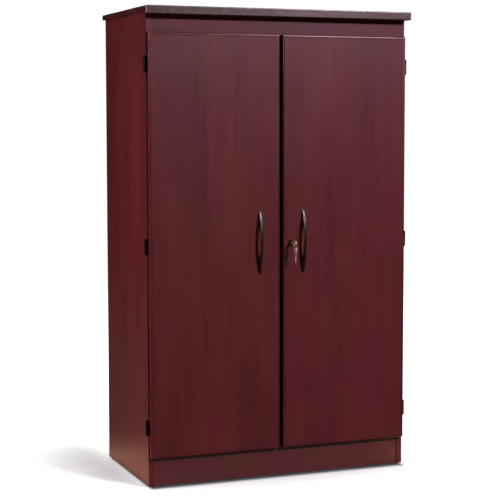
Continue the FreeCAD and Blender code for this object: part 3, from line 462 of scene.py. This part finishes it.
# ---------------------------------------------------------------------------
# stage: floor, light and camera
# ---------------------------------------------------------------------------
def stage_floor():
    me = bpy.data.meshes.new("floor")
    bm = bmesh.new()
    n, r = 96, 9.0
    rim = [bm.verts.new((r * math.cos(2 * math.pi * i / n), r * math.sin(2 * math.pi * i / n), 0.0)) for i in range(n)]
    bm.faces.new(rim)
    bm.to_mesh(me)
    bm.free()
    o = bpy.data.objects.new("floor", me)
    bpy.context.scene.collection.objects.link(o)
    o.location.z = -0.0005
    m = bpy.data.materials.new("floor_white")
    m.use_nodes = True
    t = Tree(m.node_tree)
    m.node_tree.nodes.clear()
    out = t.add("ShaderNodeOutputMaterial")
    d = t.add("ShaderNodeBsdfDiffuse")
    lp = t.add("ShaderNodeLightPath")
    seen = lp.outputs["Is Camera Ray"]
    pos, _ = t.coords()
    x, y, _z = t.split(pos)
    # distance from the object's footprint
    dx = t.math("MAXIMUM", t.math("SUBTRACT", t.math("ABSOLUTE", x), 0.40), 0.0)
    dy = t.math("MAXIMUM", t.math("SUBTRACT", t.math("ABSOLUTE", y), 0.21), 0.0)
    away = t.vmath("LENGTH", t.join(dx, dy, 0.0))
    far = t.remap(away, 0.45, 1.25, 0.0, 1.0, True)
    grit = t.noise(pos, 30.0, 3.0, 0.6)
    paper = t.ramp(grit, [(0.3, (0.885, 0.885, 0.885)), (0.7, (0.905, 0.905, 0.905))])
    # painted reflection: for all but camera rays the floor is warm tan beside the side panels and a dim brownish grey
    # further out, so the case picks up a warm reflection low on its sides and little in front; the camera sees white
    # paper
    beside = t.remap(t.math("ABSOLUTE", x), 0.392, 0.425, 0.0, 1.0, True)
    near = t.ramp(grit, [(0.3, (0.72, 0.47, 0.32)), (0.7, (0.75, 0.50, 0.34))])
    near = t.mix(beside, (0.28, 0.29, 0.28), near)
    lit = t.mix(t.remap(away, 0.10, 0.42, 0.0, 1.0, True), near, (0.205, 0.168, 0.120))
    # painted contact shadow: the floor is darkened beneath the case and in a 4 cm strip in front of the plinth, in the
    # paper colour and in the camera-ray emission
    ahead = t.math("SUBTRACT", Y0, y)
    contact_shadow = t.math("MULTIPLY", t.remap(t.math("ABSOLUTE", x), 0.388, 0.407, 1.0, 0.0, True), t.remap(ahead, 0.002, 0.042, 1.0, 0.0, True))
    contact_shadow = t.math("MULTIPLY", contact_shadow, t.remap(y, 0.19, 0.225, 1.0, 0.0, True))
    clear = t.math("SUBTRACT", 1.0, t.math("MULTIPLY", contact_shadow, 0.92))
    paper = t.mix(1.0, paper, t.join(clear, clear, clear), "MULTIPLY")
    t.put(d.inputs["Color"], t.mix(seen, lit, paper))
    e = t.add("ShaderNodeEmission")
    # painted shadow: for camera rays the floor's emission is lowest next to the footprint, and lower and wider to the
    # left-rear of the case where the key light's shadow falls; further out it rises to an even white
    left = t.math("MULTIPLY", t.remap(x, -0.46, -0.37, 1.0, 0.0, True), t.remap(y, -0.26, 0.06, 0.0, 1.0, True))
    lift = t.mixf(left, t.remap(away, 0.02, 0.27, 0.37, 0.80, True), t.remap(away, 0.02, 0.44, 0.08, 0.80, True))
    lift = t.math("MULTIPLY", clear, t.math("ADD", lift, t.math("MULTIPLY", far, 0.25)))
    # painted reflection: for all but camera rays the floor also glows warm beside the side panels, fading out within
    # 0.24 m, though it is no lamp
    t.put(e.inputs["Color"], t.mix(seen, (1.0, 0.62, 0.40), (1.0, 1.0, 1.0)))
    glow = t.math("MULTIPLY", t.remap(away, 0.0, 0.24, 0.62, 0.0, True), t.math("MULTIPLY", beside, t.math("SUBTRACT", 1.0, seen)))
    t.put(e.inputs["Strength"], t.math("ADD", t.math("MULTIPLY", seen, lift), glow))
    a = t.add("ShaderNodeAddShader")
    t.put(a.inputs[0], d.outputs[0])
    t.put(a.inputs[1], e.outputs[0])
    t.put(out.inputs["Surface"], a.outputs[0])
    me.materials.append(m)
    return o


stage_floor()


def area(name, loc, aim, size, power, colour=(1, 1, 1), size_y=None, glossy=True, diffuse=True):
    data = bpy.data.lights.new(name, "AREA")
    data.shape = "RECTANGLE"
    data.size = size
    data.size_y = size_y or size
    data.energy = power
    data.color = colour
    o = bpy.data.objects.new(name, data)
    bpy.context.scene.collection.objects.link(o)
    o.location = loc
    o.rotation_mode = "QUATERNION"
    o.rotation_quaternion = (Vector(aim) - Vector(loc)).to_track_quat("-Z", "Y")
    o.visible_camera = False
    o.visible_glossy = glossy
    o.visible_diffuse = diffuse
    return o


KEY = (0.0 + 5.7 * math.sin(math.radians(29)) * math.cos(math.radians(26)),
       -0.2 - 5.7 * math.cos(math.radians(29)) * math.cos(math.radians(26)),
       0.9 + 5.7 * math.sin(math.radians(26)))
area("key", KEY, (0.0, -0.2, 0.9), 1.0, 290.0, (1.0, 0.95, 1.01), 0.7)
area("left_high", (-2.2, 0.5, 2.4), (0.0, 0.0, 0.8), 1.0, 22.5, (1.0, 0.98, 0.97))
area("left_strip", (-1.05, -0.19, 0.82), (-0.4, -0.15, 0.82), 0.22, 4.4, (1.0, 0.97, 0.97), 1.2, glossy=False)
area("left_low", (-2.4, 0.7, 0.35), (0.0, 0.0, 0.3), 1.0, 4.5, (1.0, 0.96, 0.91), 0.6, glossy=False)
area("edge_card", (-2.35, -1.05, 1.95), (-0.2, -0.2, 1.1), 0.35, 110.0, (1.0, 0.95, 0.97), 1.1, diffuse=False)
area("right_rear", (3.0, 0.7, 1.3), (0.0, 0.1, 0.7), 1.2, 30.0, (1.0, 0.99, 0.98), 1.4)
area("behind", (0.7, 3.4, 2.3), (0.0, 0.2, 0.7), 2.0, 55.0, (1.0, 0.99, 0.98))


def world():
    w = bpy.data.worlds.new("studio")
    bpy.context.scene.world = w
    w.use_nodes = True
    t = Tree(w.node_tree)
    w.node_tree.nodes.clear()
    out = t.add("ShaderNodeOutputWorld")
    tc = t.add("ShaderNodeTexCoord")
    x, y, z = t.split(tc.outputs["Generated"])
    up = t.remap(z, 0.15, 0.95, 0.006, 0.030, True)
    dim = t.add("ShaderNodeBackground")
    t.put(dim.inputs["Color"], t.join(up, up, up))
    white = t.add("ShaderNodeBackground")
    white.inputs["Color"].default_value = (1.0, 1.0, 1.0, 1.0)
    white.inputs["Strength"].default_value = 1.02
    lp = t.add("ShaderNodeLightPath")
    mixed = t.add("ShaderNodeMixShader")
    t.put(mixed.inputs[0], lp.outputs["Is Camera Ray"])
    t.put(mixed.inputs[1], dim.outputs[0])
    t.put(mixed.inputs[2], white.outputs[0])
    t.put(out.inputs["Surface"], mixed.outputs[0])


world()


def camera():
    data = bpy.data.cameras.new("camera")
    o = bpy.data.objects.new("camera", data)
    bpy.context.scene.collection.objects.link(o)
    yaw, pitch, roll = (math.radians(v) for v in (21.435, -4.465, -0.061))
    ahead = Vector((math.sin(yaw) * math.cos(pitch), math.cos(yaw) * math.cos(pitch), math.sin(pitch)))
    right = Vector((math.cos(yaw), -math.sin(yaw), 0.0))
    up = right.cross(ahead)
    r = right * math.cos(roll) + up * math.sin(roll)
    u = -right * math.sin(roll) + up * math.cos(roll)
    o.matrix_world = Matrix((
        (r.x, u.x, -ahead.x, -1.6005),
        (r.y, u.y, -ahead.y, -4.0227),
        (r.z, u.z, -ahead.z, 1.0384),
        (0, 0, 0, 1),
    ))
    data.sensor_width = 36.0
    data.lens = 103.947
    data.shift_y = -0.035
    data.clip_start = 0.05
    data.clip_end = 60.0
    bpy.context.scene.camera = o


camera()

scene = bpy.context.scene
scene.view_settings.view_transform = "Standard"
scene.view_settings.look = "None"
scene.view_settings.exposure = 0.0
scene.view_settings.gamma = 1.0
